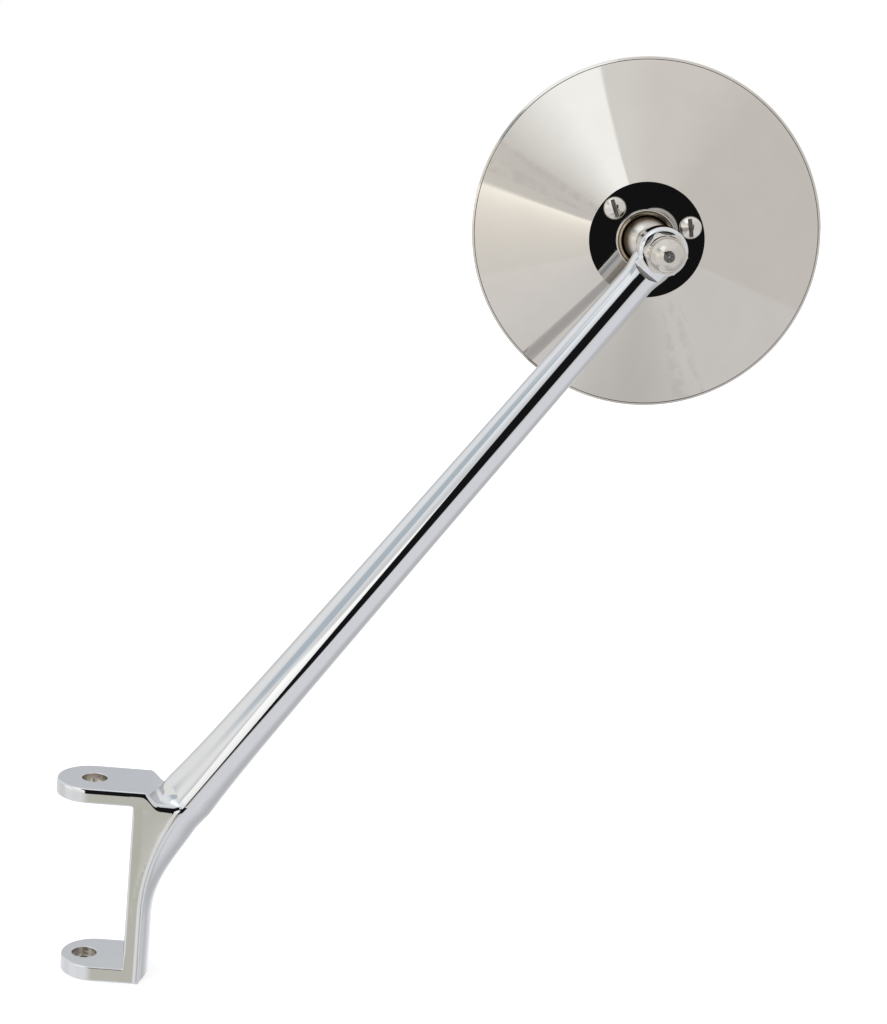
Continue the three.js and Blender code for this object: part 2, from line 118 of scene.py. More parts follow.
def overlap(a, b, edge):
    """Distance to what two solids share, with the edge between them rounded to a radius."""
    return np.minimum(np.maximum(a, b), -edge) + np.hypot(
        np.maximum(a + edge, 0), np.maximum(b + edge, 0))


def union(a, b, fillet):
    """Distance to two solids joined, with a fillet between them."""
    return -overlap(-a, -b, fillet)


def less(a, b, edge):
    """Distance to a solid with another one cut out of it."""
    return overlap(a, -b, edge)


def grid_values(field, axes, block=6):
    """A field on a grid. Away from the surface one value serves for a whole block."""
    step = axes[0][1] - axes[0][0]
    centres = [a[::block] + step * (block - 1) / 2 for a in axes]
    coarse = field(*np.meshgrid(*centres, indexing="ij"))
    for axis in range(3):
        coarse = np.repeat(coarse, block, axis)
    values = coarse[tuple(slice(len(a)) for a in axes)].copy()
    near = np.nonzero(np.abs(values) < 1.6 * block * step)
    values[near] = field(*(a[i] for a, i in zip(axes, near)))
    return values


def surface_net(field, low, high, step):
    """Points and quads of the surface where a field is zero: one point in each cell of a grid
    that the surface passes through, and a quad round each grid edge that it crosses."""
    axes = [np.arange(a - 2.3 * step, b + 3 * step, step) for a, b in zip(low, high)]
    values = grid_values(field, axes)
    inside = values < 0
    cells = tuple(n - 1 for n in values.shape)
    total, count = np.zeros(cells + (3,)), np.zeros(cells)
    crossings = []
    for axis in range(3):
        first = [slice(None)] * 3
        second = [slice(None)] * 3
        first[axis], second[axis] = slice(None, -1), slice(1, None)
        first, second = tuple(first), tuple(second)
        crossed = np.argwhere(inside[first] != inside[second])
        a = values[first][tuple(crossed.T)]
        b = values[second][tuple(crossed.T)]
        point = crossed.astype(float)
        point[:, axis] += a / (a - b)
        u, w = (axis + 1) % 3, (axis + 2) % 3
        for du, dw in ((0, 0), (1, 0), (1, 1), (0, 1)):
            cell = crossed.copy()
            cell[:, u] -= du
            cell[:, w] -= dw
            np.add.at(total, tuple(cell.T), point)
            np.add.at(count, tuple(cell.T), 1)
        crossings.append((axis, crossed, a < 0))
    used = count > 0
    number = np.full(cells, -1)
    number[used] = np.arange(used.sum())
    points = total[used] / count[used][:, None] * step + [a[0] for a in axes]
    quads = []
    for axis, crossed, outward in crossings:
        u, w = (axis + 1) % 3, (axis + 2) % 3
        ring = []
        for du, dw in ((0, 0), (1, 0), (1, 1), (0, 1)):
            cell = crossed.copy()
            cell[:, u] -= du
            cell[:, w] -= dw
            ring.append(number[tuple(cell.T)])
        quad = np.stack(ring, 1)
        quad[~outward] = quad[~outward, ::-1]
        quads.append(quad)
    return points, np.concatenate(quads)


def slope(field, p, reach=0.004):
    """Gradient of a field at points."""
    parts = []
    for axis in range(3):
        offset = np.zeros(3)
        offset[axis] = reach
        parts.append((field(*(p + offset).T) - field(*(p - offset).T)) / (2 * reach))
    return np.stack(parts, 1)


def settled(field, p, most, rounds=4):
    """Points moved onto the surface, and its normals there."""
    for _ in range(rounds):
        g = slope(field, p)
        size = np.maximum((g * g).sum(1), 0.05)
        move = (field(*p.T) / size)[:, None] * g
        length = np.linalg.norm(move, axis=1, keepdims=True)
        p = p - move * np.minimum(1, most / np.maximum(length, 1e-9))
    g = slope(field, p)
    return p, g / np.maximum(np.linalg.norm(g, axis=1, keepdims=True), 1e-9)


def split_edges(triangles, chosen, count):
    """Triangles cut at the middle of their chosen edges. chosen says which of the mesh's edges,
    given as pairs of point numbers, to cut. Returns the triangles and the pairs that were cut."""
    sides = np.stack([triangles, np.roll(triangles, -1, 1)], 2)
    keys = sides.min(2) * count + sides.max(2)
    known, where = np.unique(keys, return_inverse=True)
    where = where.reshape(keys.shape)
    pairs = np.stack([known // count, known % count], 1)
    cut = chosen(pairs)
    number = np.full(len(known), -1)
    number[cut] = count + np.arange(cut.sum())
    middle = number[where]
    has = middle >= 0
    made = [triangles[~has.any(1)]]
    for turn in range(3):
        a, b, c = np.roll(triangles, -turn, 1).T
        ab, bc, _ = np.roll(middle, -turn, 1).T
        h_ab, h_bc, h_ca = np.roll(has, -turn, 1).T
        one = h_ab & ~h_bc & ~h_ca
        made += [np.stack(t, 1)[one] for t in ((a, ab, c), (ab, b, c))]
        two = h_ab & h_bc & ~h_ca
        made += [np.stack(t, 1)[two] for t in ((ab, b, bc), (a, ab, bc), (a, bc, c))]
    full = has.all(1)
    a, b, c = triangles[full].T
    ab, bc, ca = middle[full].T
    made += [np.stack(t, 1) for t in ((a, ab, ca), (ab, b, bc), (ca, bc, c), (ab, bc, ca))]
    return np.concatenate(made), pairs[cut]


def usual_bend(points):
    return np.full(len(points), 9.0)


def mesh_field(field, low, high, step, rounds=3, bend=usual_bend, least=0.08):
    """Points, triangles and normals of a field's surface, finer where it turns by more than the
    angle that bend gives for a place, in degrees."""
    points, quads = surface_net(field, low, high, step)
    points, normals = settled(field, points, step / 2)
    triangles = np.concatenate([quads[:, [0, 1, 2]], quads[:, [0, 2, 3]]])

    def curved(pairs):
        a, b = pairs.T
        turn = (normals[a] * normals[b]).sum(1)
        length = np.linalg.norm(points[a] - points[b], axis=1)
        allowed = np.cos(np.radians(bend((points[a] + points[b]) / 2)))
        return (turn < allowed) & (length > least)

    for _ in range(rounds):
        triangles, pairs = split_edges(triangles, curved, len(points))
        middle = points[pairs].mean(1)
        middle, facing = settled(field, middle, step / 4)
        points = np.concatenate([points, middle])
        normals = np.concatenate([normals, facing])
    return points, triangles, normals


# ---- Outlines of turned pieces --------------------------------------------------------------
def rounded(corners, closed):
    """Points and normals of an outline, from corners of (radius, y, fillet). It starts at the -y
    end and goes out and round, with the solid on its left. A corner with no fillet stays as it
    is, for points along a curve."""
    ARC_STEP = math.radians(8)
    points, normals = [], []
    spots = [np.array(c[:2], float) for c in corners]
    last = len(corners) - 1
    for i, (_, _, fillet) in enumerate(corners):
        here = spots[i]
        arrive = here - spots[i - 1] if closed or i > 0 else spots[1] - here
        leave = spots[(i + 1) % len(spots)] - here if closed or i < last else here - spots[i - 1]
        arrive, leave = arrive / np.linalg.norm(arrive), leave / np.linalg.norm(leave)
        turn = math.atan2(arrive[0] * leave[1] - arrive[1] * leave[0], arrive @ leave)
        steps = max(1, math.ceil(abs(turn) / ARC_STEP)) if fillet else 0
        out = np.array((arrive[1], -arrive[0]))
        side = math.copysign(1, turn)
        centre = here - arrive * fillet * math.tan(abs(turn) / 2) - out * fillet * side
        for k in range(steps + 1):
            a = turn * (k / steps if steps else 0.5)
            facing = np.array((math.cos(a) * out[0] - math.sin(a) * out[1],
                               math.sin(a) * out[0] + math.cos(a) * out[1]))
            points.append(centre + facing * fillet * side if fillet else here)
            normals.append(facing)
    return np.array(points), np.array(normals)


def arc(radius, centre_y, start, end, steps=16):
    """Points along a circle about a point of the axis, from one angle off -y to another."""
    angles = np.radians(np.linspace(start, end, steps + 1))
    return [(radius * math.sin(a), centre_y - radius * math.cos(a), 0) for a in angles]


# ---- Pieces ---------------------------------------------------------------------------------
def new_piece(name, points, faces, normals, place=WORLD):
    """A smooth mesh object from points in millimetres and its exact vertex normals."""
    mesh = bpy.data.meshes.new(name)
    mesh.from_pydata((np.asarray(points) * MM).tolist(), [], [tuple(f) for f in faces])
    mesh.polygons.foreach_set("use_smooth", [True] * len(mesh.polygons))
    mesh.update()
    mesh.normals_split_custom_set_from_vertices(np.asarray(normals).tolist())
    piece = bpy.data.objects.new(name, mesh)
    bpy.context.scene.collection.objects.link(piece)
    piece.matrix_world = place
    return piece


def field_piece(name, field, low, high, step, place=WORLD, **detail):
    points, triangles, normals = mesh_field(field, low, high, step, **detail)
    return new_piece(name, points, triangles.tolist(), normals, place)


def turned_piece(name, corners, place, segments=96, closed=False):
    """A piece turned about its own y axis."""
    outline, facing = rounded(corners, closed)
    angles = np.arange(segments) * 2 * math.pi / segments
    points, normals, rows = [], [], []
    for (r, y), (nr, ny) in zip(outline, facing):
        around = angles[:1] if r < 1e-6 else angles
        rows.append(len(points) + np.arange(segments) * (r >= 1e-6))
        points += [(r * math.cos(a), y, r * math.sin(a)) for a in around]
        normals += [(nr * math.cos(a), ny, nr * math.sin(a)) for a in around]
    faces = []
    for i in range(len(rows) if closed else len(rows) - 1):
        here, there = rows[i], rows[(i + 1) % len(rows)]
        for k in range(segments):
            n = (k + 1) % segments
            ring = [here[k], there[k], there[n], here[n]]
            faces.append(list(dict.fromkeys(int(v) for v in ring)))
    return new_piece(name, points, faces, normals, place)


def belongs(piece, body, slot, material, *nodes):
    """The piece rides on a body, takes a material, and stands for CAD nodes; its slot is not used."""
    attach(piece, body)
    piece.data.materials.append(material)
    if nodes:
        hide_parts(*nodes)


# ---- Cast bracket and arm -------------------------------------------------------------------
low_corner, high_corner = (Vector(c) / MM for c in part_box("arm_bracket"))
HALF_DEPTH = high_corner.y
EAR_THICK = -low_corner.z
EAR_GAP = mounts["upper_ear_underside"].z
EAR_TOP = mounts["upper_ear_top"].z
EYE_X, _, EYE_Z = EYE / MM
UPPER_CENTRE = low_corner.x + HALF_DEPTH  # middle of the upper ear's round end
LOWER_CENTRE = 4.3
PIN_R = 4.4
BLIND_DEPTH = 1.8
DRAIN_R = 1.2
THROAT_X = 15.0  # the web's inner face
THROAT_ROUND = 0.5
VALLEY_DROP = 3.9  # how far the upper ear's top falls towards the arm
DISH = 0.3  # hollow of the web's front and back faces
RIDGE_X = 20.1
ARM_ANGLE = math.radians(54.8)
BEND_R = 70.0
BEND = math.pi / 2 - ARM_ANGLE
CORNER_Z = EYE_Z - (EYE_X - RIDGE_X) * math.tan(ARM_ANGLE)
BEND_START = CORNER_Z - BEND_R * math.tan(BEND / 2)
BEND_END = BEND_START + BEND_R * BEND
STRAIGHT_X = RIDGE_X + BEND_R * (1 - math.cos(BEND))
STRAIGHT_Z = BEND_START + BEND_R * math.sin(BEND)
RIDGE_LONG = BEND_END + math.hypot(EYE_X - STRAIGHT_X, EYE_Z - STRAIGHT_Z)
EYE_R = 8.5
EYE_HALF = 5.0
EYE_BORE_R = 4.3
EYE_ROUND = 1.8
SEAT_R = 10.2  # seat milled into the arm round the eye
SEAT_FLAT_R = 7.7  # out to here it is level with the eye's face
SEAT_SLOPE = math.radians(24)  # and from there its floor falls away


def casting_bend(points):
    """The creases on the web's two faces are shallow, and the seat round the eye is smooth: both
    need a fine mesh."""
    x, y, z = points.T
    web = (z < EAR_TOP + 2) & (x > THROAT_X - 1) & (np.abs(y) > HALF_DEPTH - 1.8)
    seat = np.hypot(x - EYE_X, z - EYE_Z) < SEAT_R + 4
    return np.where(web, 4.0, np.where(seat, 5.0, 11.0))


def along_ridge(x, z):
    """Distance up the ridge line, which climbs the web, bends and runs to the eye, and offset
    from it towards the outer side."""
    dx, dz = RIDGE_X + BEND_R - x, z - BEND_START
    turn = np.arctan2(dz, dx)
    sx, sz = x - STRAIGHT_X, z - STRAIGHT_Z
    c, s = math.cos(ARM_ANGLE), math.sin(ARM_ANGLE)
    below, bent = (turn <= 0) | (dx < 0) & (dz < 0), turn < BEND
    way = np.where(below, z, np.where(bent, BEND_START + BEND_R * turn, BEND_END + sx * c + sz * s))
    off = np.where(below, x - RIDGE_X, np.where(bent, BEND_R - np.hypot(dx, dz), sx * s - sz * c))
    return way, off


ARM_START = 66.0  # way along the ridge where the arm leaves the bracket
EYE_REACH = 10.0  # the arm stops tapering this far short of the eye's centre
ARM_HALF = (8.75, 6.15)  # half its width at the bracket and at the eye
ARM_DEEP_END = 6.4  # half its depth at the eye
EYE_SWELL = 1.2  # how much wider it grows to meet the eye
RIB_OUTER = 2.5  # how far the rib on the web stands out, and in
RIB_INNER = 3.0
# The ridge's roundness grows along the arm as its section turns into an ellipse.
SOFT_LEAST = 0.6
OVAL_MOST = 0.914
OVAL_SPAN = 40.6
SOFT_MOST = 1.62
SOFT_SPAN = 150.0


def arm_field(y, way, off):
    """The rib on the web's outer face, growing into the arm. Its section has a ridge at the
    front and back by the web and eases to an ellipse at the eye."""
    taper = np.clip((way - ARM_START) / (RIDGE_LONG - EYE_REACH - ARM_START), 0, 1)
    half = mix(*ARM_HALF, taper ** 0.85)
    half = half + EYE_SWELL * ramp(way, RIDGE_LONG - 13, RIDGE_LONG - 5)
    outer = mix(RIB_OUTER, half, ramp(way, 16, 56))
    inner = mix(RIB_INNER, half - 0.4, ramp(way, 38, 60))
    wide = np.where(off > 0, outer, inner)
    deep = mix(HALF_DEPTH, ARM_DEEP_END, np.sin(taper * math.pi / 2))
    grown = np.maximum(way - 62, 0)
    grown = grown ** 2 / (grown + 14)
    oval = OVAL_MOST * (1 - np.exp(-grown / OVAL_SPAN))
    soft = SOFT_LEAST + SOFT_MOST * (1 - np.exp(-grown / SOFT_SPAN))
    soft = soft + ramp(way, ARM_START - 12, ARM_START) * np.exp(-np.maximum(way - ARM_START, 0) / 25)
    root = np.hypot(off, soft)
    fill = (1 - oval) * (root - soft) / wide + oval * (off / wide) ** 2 + (y / deep) ** 2 - 1
    grow = (1 - oval) * np.abs(off) / root / wide + 2 * oval * np.abs(off) / wide ** 2
    return fill / np.maximum(np.hypot(grow, 2 * y / deep ** 2), 0.08)


def bracket_field(x, y, z, way, off):
    """Two ears and the web between them: a C-shaped side view, cut to the ears' round ends. The
    upper ear's edge face leans in towards its top."""
    top = EAR_TOP - VALLEY_DROP * ramp(x, 18.6, 24.6)
    throat = overlap(x - THROAT_X, np.abs(z - EAR_GAP / 2) - EAR_GAP / 2, THROAT_ROUND)
    side = np.maximum(np.maximum(z - top, -EAR_THICK - z), np.maximum(off - 0.8, -throat))
    crease = -1.2 - 2.2 * ramp(-way, -52, -12)
    dish = DISH * (1 - np.exp(-np.maximum(crease - off, 0) / 4)) * ramp(x, 15.2, 19)
    dish = dish * ramp(-z, -EAR_GAP - 2, -EAR_GAP + 6)
    lean_high = mix(1.7, 2.8, ramp(x, 17, 23))
    lean = np.maximum(z - top + lean_high, 0) ** 2 / 8.5 * (z > EAR_GAP / 2)
    centre = np.where(z > EAR_GAP / 2, UPPER_CENTRE, LOWER_CENTRE)
    plan = np.hypot(np.minimum(x - centre, 0), y) - HALF_DEPTH + dish + lean
    edge = mix(0.5, 0.9, ramp(x, 11, 15) * ramp(z, 2, 6) * ramp(-z, -EAR_GAP + 1, -EAR_GAP + 5))
    edge = mix(edge, 0.3, ramp(z, EAR_GAP - 1, EAR_GAP + 2))
    return overlap(side, plan, edge)


def eye_field(from_eye, y):
    """The eye: a short cylinder with well-rounded edges."""
    return overlap(from_eye - EYE_R, np.abs(y) - EYE_HALF, EYE_ROUND)


def casting(x, y, z):
    way, off = along_ridge(x, z)
    arm = overlap(arm_field(y, way, off), np.maximum(way - RIDGE_LONG, -EAR_THICK - z), 0.8)
    body = np.minimum(arm, 60.0)
    near = z < 90
    if near.any():
        bracket = bracket_field(x[near], y[near], z[near], way[near], off[near])
        middle = ramp(-np.abs(y[near]), -12, -9.5)
        fillet = mix(0.9, 4.5, ramp(way[near], 56, 70) * middle)
        body[near] = union(arm[near], bracket, fillet)
        pin = np.hypot(x[near], y[near])
        upper = np.maximum(pin - PIN_R, EAR_GAP / 2 - z[near])
        lower = np.maximum(pin - PIN_R, -BLIND_DEPTH - z[near])
        lower = np.maximum(lower, z[near] - EAR_GAP / 2)
        drain = np.maximum(pin - DRAIN_R, z[near])
        body[near] = less(body[near], np.minimum(np.minimum(upper, lower), drain), 0.3)
    from_eye = np.hypot(x - EYE_X, z - EYE_Z)
    rise = np.abs(y) - EYE_HALF
    cone = (from_eye - SEAT_FLAT_R) * math.sin(SEAT_SLOPE) + rise * math.cos(SEAT_SLOPE)
    seat = overlap(from_eye - SEAT_R, -overlap(cone, rise, 0.8), 0.3)
    body = union(less(body, seat, 0.15), eye_field(from_eye, y), 0.3)
    return less(body, from_eye - EYE_BORE_R, 0.3)


# ---- Stud, washer and nut, in the axes of the arm's eye --------------------------------------
GAP = 0.3
BALL_Y = (STEM.inverted() @ BALL).y / MM
BALL_R, THREAD_END, _ = turned_size("ball_stud", STEM)
THREAD_R = 4.0
NECK_R = 4.6
COLLAR_R = 6.8
WASHER_R, WASHER_BACK, WASHER_FACE = turned_size("lock_washer", STEM)
SPLIT_TURN = 0.6  # radians
SPLIT_LEAN = 0.35
SPLIT_HALF = 0.4
NUT_FLATS = 13.0
NUT_TURN = math.radians(-3)
NUT_CHAMFER = math.radians(30)
HEX_HIGH = 5.2
_, NUT_TIP, NUT_FACE = turned_size("dome_nut", STEM)
NUT_FRONT = NUT_FACE - HEX_HIGH
DOME_R = 5.8
DOME_MIDDLE = NUT_FRONT - 2.0
TIP_FLAT_R = 1.85


def ball_stud():
    neck = math.degrees(math.asin(NECK_R / BALL_R))
    ball = arc(BALL_R, BALL_Y, 0, 180, 90)
    ball = [c for c in ball if c[0] > NECK_R or c[1] > BALL_Y]
    near = EYE_HALF + GAP
    base = BALL_Y - BALL_R * math.cos(math.radians(neck))
    return turned_piece("ball_and_stud", [
        (0, THREAD_END, 0), (THREAD_R - 0.7, THREAD_END, 0.1), (THREAD_R, THREAD_END + 0.7, 0.1),
        (THREAD_R, near, 0.1), (COLLAR_R, near, 0.4), (COLLAR_R, near + 2.2, 0.8),
        (NECK_R, near + 4.5, 1.0), (NECK_R, base, 0.8)] + ball, STEM, 128)


def washer_field(x, y, z):
    out = np.hypot(x, z)
    middle = (WASHER_BACK + WASHER_FACE) / 2
    ring = overlap(np.maximum(out - WASHER_R, THREAD_R + GAP - out),
                   np.abs(y - middle) - (WASHER_FACE - WASHER_BACK) / 2, 0.15)
    s, c = math.sin(SPLIT_TURN), math.cos(SPLIT_TURN)
    across = x * s + z * c + SPLIT_LEAN * (y - middle)
    split = np.maximum(np.abs(across) - SPLIT_HALF, z * s - x * c)
    return less(ring, split, 0.1)


def hexagon(x, z, flats, turn):
    """Distance to a hexagon's outline, with its corners slightly rounded."""
    sides = [np.abs(x * math.cos(a) + z * math.sin(a)) - flats / 2
             for a in (turn + math.radians(30 + 60 * k) for k in range(3))]
    return overlap(overlap(sides[0], sides[1], 0.25), sides[2], 0.25)


def nut_field(x, y, z):
    out = np.hypot(x, z)
    slab = np.maximum(NUT_FRONT - y, y - NUT_FACE)
    across, along = math.sin(NUT_CHAMFER), math.cos(NUT_CHAMFER)
    front_cone = (out - NUT_FLATS / 2 + 0.15) * across - (y - NUT_FRONT) * along
    back_cone = (out - NUT_FLATS / 2 - 0.5) * across + (y - NUT_FACE) * along
    body = overlap(hexagon(x, z, NUT_FLATS, NUT_TURN), slab, 0.15)
    body = overlap(body, np.maximum(front_cone, back_cone), 0.15)
    dome = np.maximum(np.hypot(out, np.minimum(y - DOME_MIDDLE, 0)) - DOME_R, y - NUT_FACE + 1)
    flat_y = DOME_MIDDLE - math.sqrt(DOME_R ** 2 - TIP_FLAT_R ** 2)
    dome = overlap(dome, flat_y - y, 0.12)
    pip = np.sqrt(out ** 2 + (y - flat_y - 0.1) ** 2) - 0.35
    body = union(union(body, dome, 0.35), pip, 0.1)
    return less(body, np.maximum(out - THREAD_R - GAP, THREAD_END - GAP - y), 0.2)


# ---- Head, in its own axes with the origin in the ball ---------------------------------------
RIM_R, _, BEZEL_FRONT = turned_size("rim_bezel", HEAD)
SHELL_EDGE_R, _, FLANGE_END = turned_size("head_shell", HEAD)
SHELL_THICK = 0.8
FLAT_Y = -3.0
FLAT_R = 20.5
CONE_END = 19.6
SOCKET_R = BALL_R + GAP
LIP_CREST = FLAT_Y - 1.5
GLASS_R, GLASS_BACK, GLASS_FRONT = turned_size("mirror_glass", HEAD)
SILVER_R, SILVER_BACK, SILVER_FRONT = turned_size("mirror_silvering", HEAD)
_, GASKET_BACK, GASKET_FRONT = turned_size("glass_gasket", HEAD)
BEZEL_LIP_R = 60.0
SCREW_R = 4.0
SCREW_HIGH = 2.6
SCREW_SIDE = 0.7
SHANK_R = 2.0
SLOT_TURNS = (112.9, 101.8, 30.0)
SLOT_WIDE = 1.4
SLOT_DEEP = 1.15


def head_shell():
    inside = FLAT_Y + SHELL_THICK
    slope_angle = math.atan2(CONE_END - FLAT_Y, SHELL_EDGE_R - FLAT_R)
    bend = SHELL_THICK * math.tan(slope_angle / 2)
    turn_in = CONE_END + SHELL_THICK * math.tan(math.pi / 4 - slope_angle / 2)

    def socket(y):
        return math.sqrt(SOCKET_R ** 2 - y ** 2)

    return turned_piece("pressed_shell", [
        (socket(LIP_CREST + 0.1), LIP_CREST + 0.1, 0.15), (9.05, LIP_CREST - 0.1, 0.3),
        (9.75, LIP_CREST + 0.1, 0.2), (9.95, LIP_CREST + 0.5, 0.12), (10.2, LIP_CREST, 0.2),
        (10.65, LIP_CREST, 0.4), (10.75, FLAT_Y, 0.12), (FLAT_R, FLAT_Y, 0.25),
        (SHELL_EDGE_R, CONE_END, 0.6), (SHELL_EDGE_R, FLANGE_END, 0.2),
        (SHELL_EDGE_R - SHELL_THICK, FLANGE_END, 0.2), (SHELL_EDGE_R - SHELL_THICK, turn_in, 0.4),
        (FLAT_R - bend, inside, 0.5), (socket(inside), inside, 0.2)], HEAD, 192, closed=True)


def rim_bezel():
    wall = SHELL_EDGE_R + 0.04
    lip_back = GLASS_FRONT + GAP
    start = CONE_END + 0.2
    return turned_piece("rim_ring", [
        (wall, start - 0.25, 0.04), (RIM_R, start + 0.3, 0.3), (RIM_R, BEZEL_FRONT, 0.55),
        (BEZEL_LIP_R, BEZEL_FRONT, 0.28), (BEZEL_LIP_R, lip_back, 0.2), (wall, lip_back, 0.1)],
        HEAD, 192, closed=True)


def disc(name, radius, back, front, edge):
    return turned_piece(name, [
        (0, back, 0), (radius, back, edge), (radius, front, edge), (0, front, 0)], HEAD, 192)


def glass_gasket():
    inner, outer = GLASS_R + GAP, SHELL_EDGE_R
    return turned_piece("gasket_ring", [
        (inner, GASKET_BACK, 0.2), (outer, GASKET_BACK, 0.2), (outer, GASKET_FRONT, 0.2),
        (inner, GASKET_FRONT, 0.2)], HEAD, 192, closed=True)


def screw_field(x, y, z):
    """A slotted screw with a domed head; y is 0 under the head and the slot runs along x."""
    out = np.hypot(x, z)
    rise = SCREW_HIGH - SCREW_SIDE
    crown_r = (SCREW_R ** 2 + rise ** 2) / (2 * rise)
    crown = np.sqrt(out ** 2 + (y + SCREW_HIGH - crown_r) ** 2) - crown_r
    top = overlap(overlap(crown, out - SCREW_R, 0.35), y, 0.08)
    end = SCREW_END - SCREW_SEAT
    shank = overlap(np.maximum(out - SHANK_R, -1 - y), y - end, 0.4)
    slot = np.maximum(np.abs(z) - SLOT_WIDE / 2, y + SCREW_HIGH - SLOT_DEEP)
    return less(union(top, shank, 0.2), slot, 0.1)


SCREW_SEAT = FLAT_Y - GAP
_, _, SCREW_END = turned_size("clamp_screw_1", HEAD)


def clamp_screw(number, shape):
    node = f"clamp_screw_{number}"
    spots = node_points(node, HEAD)
    middle = (spots.min(0) + spots.max(0)) / 2
    origin = HEAD @ Vector((middle[0] * MM, SCREW_SEAT * MM, middle[2] * MM))
    turn = math.radians(SLOT_TURNS[number - 1])
    along = HEAD_X * math.cos(turn) + HEAD_Z * math.sin(turn)
    place = placed(origin, along, HEAD_Y, along.cross(HEAD_Y))
    return new_piece(f"slotted_screw_{number}", *shape, place)


# ---- Shader graphs --------------------------------------------------------------------------
class Graph:
    """Nodes written as expressions. A value or colour may be a socket or a plain number."""

    def __init__(self, tree):
        self.tree = tree

    def node(self, kind, settings=None, **values):
        node = self.tree.nodes.new("ShaderNode" + kind)
        for key, value in (settings or {}).items():
            setattr(node, key, value)
        for key, value in values.items():
            self.feed(node.inputs[key.replace("_", " ")], value)
        return node

    def feed(self, socket, value):
        if isinstance(value, bpy.types.NodeSocket):
            self.tree.links.new(value, socket)
        elif isinstance(value, tuple) and len(value) == 3 and socket.type == "RGBA":
            socket.default_value = (*value, 1)
        else:
            socket.default_value = value

    def math(self, operation, *values):
        node = self.node("Math", {"operation": operation})
        for socket, value in zip(node.inputs, values):
            self.feed(socket, value)
        return node.outputs[0]

    def times(self, *values):
        result = values[0]
        for value in values[1:]:
            result = self.math("MULTIPLY", result, value)
        return result

    def ramp(self, value, start, end):
        node = self.node("MapRange", {"interpolation_type": "SMOOTHSTEP"}, Value=value)
        node.inputs["From Min"].default_value = min(start, end)
        node.inputs["From Max"].default_value = max(start, end)
        node.inputs["To Min"].default_value = float(start > end)
        node.inputs["To Max"].default_value = float(start <= end)
        return node.outputs[0]

    def blend(self, factor, a, b):
        """Colour a where the factor is 0 and b where it is 1."""
        node = self.node("Mix", {"data_type": "RGBA"})
        self.feed(node.inputs["Factor"], factor)
        self.feed([n for n in node.inputs if n.name == "A" and n.type == "RGBA"][0], a)
        self.feed([n for n in node.inputs if n.name == "B" and n.type == "RGBA"][0], b)
        return [n for n in node.outputs if n.type == "RGBA"][0]

    def between(self, factor, low, high):
        return self.math("MULTIPLY_ADD", factor, high - low, low)

    def noise(self, vector, scale, detail=3.0, roughness=0.55, seed=(0, 0, 0)):
        moved = self.node("VectorMath", {"operation": "ADD"})
        self.feed(moved.inputs[0], vector)
        moved.inputs[1].default_value = seed
        return self.node("TexNoise", Vector=moved.outputs[0], Scale=scale, Detail=detail,
                         Roughness=roughness).outputs["Fac"]

    def bump(self, height, size, strength=1.0, normal=None):
        """Normal of a surface with a relief of the given height in metres."""
        node = self.node("Bump", Height=height, Distance=size, Strength=strength)
        if normal:
            self.feed(node.inputs["Normal"], normal)
        return node.outputs[0]


# ---- Studio ---------------------------------------------------------------------------------
LENS = 75.96
SENSOR = 36.0
CAMERA_AT = Vector((0.075635, -0.728172, 0.334751))
CAMERA_PITCH = math.radians(12.516)
CAMERA_YAW = math.radians(3.012)
CAMERA_ROLL = math.radians(5.473)


def make_camera():
    data = bpy.data.cameras.new("camera")
    data.lens, data.sensor_width = LENS, SENSOR
    data.clip_start, data.clip_end = 0.01, 50
    camera = bpy.data.objects.new("camera", data)
    bpy.context.scene.collection.objects.link(camera)
    level = Matrix.Rotation(-CAMERA_YAW, 4, "Z") @ Matrix.Rotation(math.pi / 2 - CAMERA_PITCH, 4, "X")
    camera.matrix_world = Matrix.Translation(CAMERA_AT) @ level @ Matrix.Rotation(CAMERA_ROLL, 4, "Z")
    bpy.context.scene.camera = camera


# Directions of the studio's parts, in degrees: turn from -Y towards +X, and height.
DARK_RIGHT = 21.0
DARK_TOP = 26.0
DARK_BOTTOM = -16.0
LEFT_PANEL_TOP = 5.0
HIGH_PANEL_RIGHT = -33.5
FLOOR_EDGE = -23.0


def make_world():
    """A light tent seen only by reflection: a dark opening in front, a high and a low bright
    panel on the left, a bluish patch between them, and a pale floor. The camera sees white."""
    world = bpy.data.worlds.new("studio")
    bpy.context.scene.world = world
    world.use_nodes = True
    g = Graph(world.node_tree)
    out = world.node_tree.nodes["World Output"]
    shader = world.node_tree.nodes["Background"]
    split = g.node("SeparateXYZ", Vector=g.node("TexCoord").outputs["Generated"]).outputs
    turn = g.math("DEGREES", g.math("ARCTAN2", split["X"], g.math("MULTIPLY", split["Y"], -1.0)))
    high = g.math("DEGREES", g.math("ARCSINE", split["Z"]))
    light = bright_panels(g, soft_zones(g, turn, high), turn, high)
    light = dark_opening(g, light, turn, high)
    sees = g.node("LightPath").outputs["Is Camera Ray"]
    g.feed(shader.inputs["Color"], g.blend(sees, light, (1.0, 1.0, 1.0)))
    world.node_tree.links.new(shader.outputs[0], out.inputs["Surface"])


